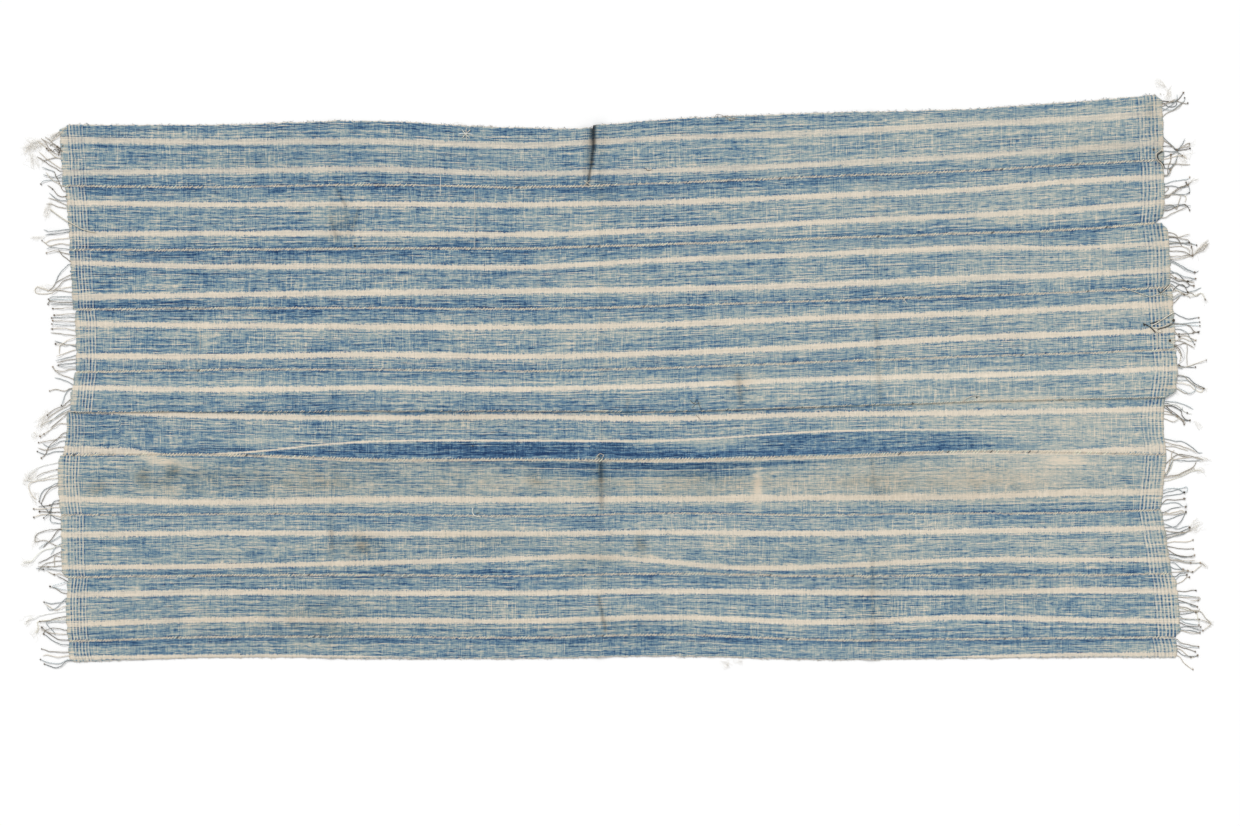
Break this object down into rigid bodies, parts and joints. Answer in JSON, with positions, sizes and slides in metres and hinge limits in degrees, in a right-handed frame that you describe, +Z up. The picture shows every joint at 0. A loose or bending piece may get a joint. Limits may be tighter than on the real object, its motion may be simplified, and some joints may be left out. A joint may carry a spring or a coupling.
{
  "type": "striped throw of sewn woven strips with fringed ends",
  "caption": "Faded indigo cotton throw of narrow woven strips sewn edge to edge, laid out flat, with cream warp stripes, weft bars and a loose knotted fringe at both ends.",
  "frame": {"origin": "on the surface that the throw lies on, under the middle of its outline with the fringe", "axes": "+X along the woven strips, towards the picture's right; +Y across them, towards the picture's top; +Z up"},
  "size_m": [1.8966, 0.923, 0.0088],
  "materials": {
    "cloth": "matte hand-woven cotton, faded indigo with cream stripes",
    "fringe": "matte twisted cotton yarn, beige and grey blue"
  },
  "bodies": {
    "root": {"strip_01": "cloth", "strip_02": "cloth", "strip_03": "cloth", "strip_04": "cloth", "strip_05": "cloth", "strip_06": "cloth", "strip_07": "cloth", "strip_08": "cloth", "strip_09": "cloth", "strip_10": "cloth", "fringe_left_01": "fringe", "fringe_left_02": "fringe", "fringe_left_03": "fringe", "fringe_left_04": "fringe", "fringe_left_05": "fringe", "fringe_left_06": "fringe", "fringe_left_07": "fringe", "fringe_left_08": "fringe", "fringe_left_09": "fringe", "fringe_left_10": "fringe", "fringe_right_01": "fringe", "fringe_right_02": "fringe", "fringe_right_03": "fringe", "fringe_right_04": "fringe", "fringe_right_05": "fringe", "fringe_right_06": "fringe", "fringe_right_07": "fringe", "fringe_right_08": "fringe", "fringe_right_09": "fringe", "fringe_right_10": "fringe"}
  },
  "joints": []
}
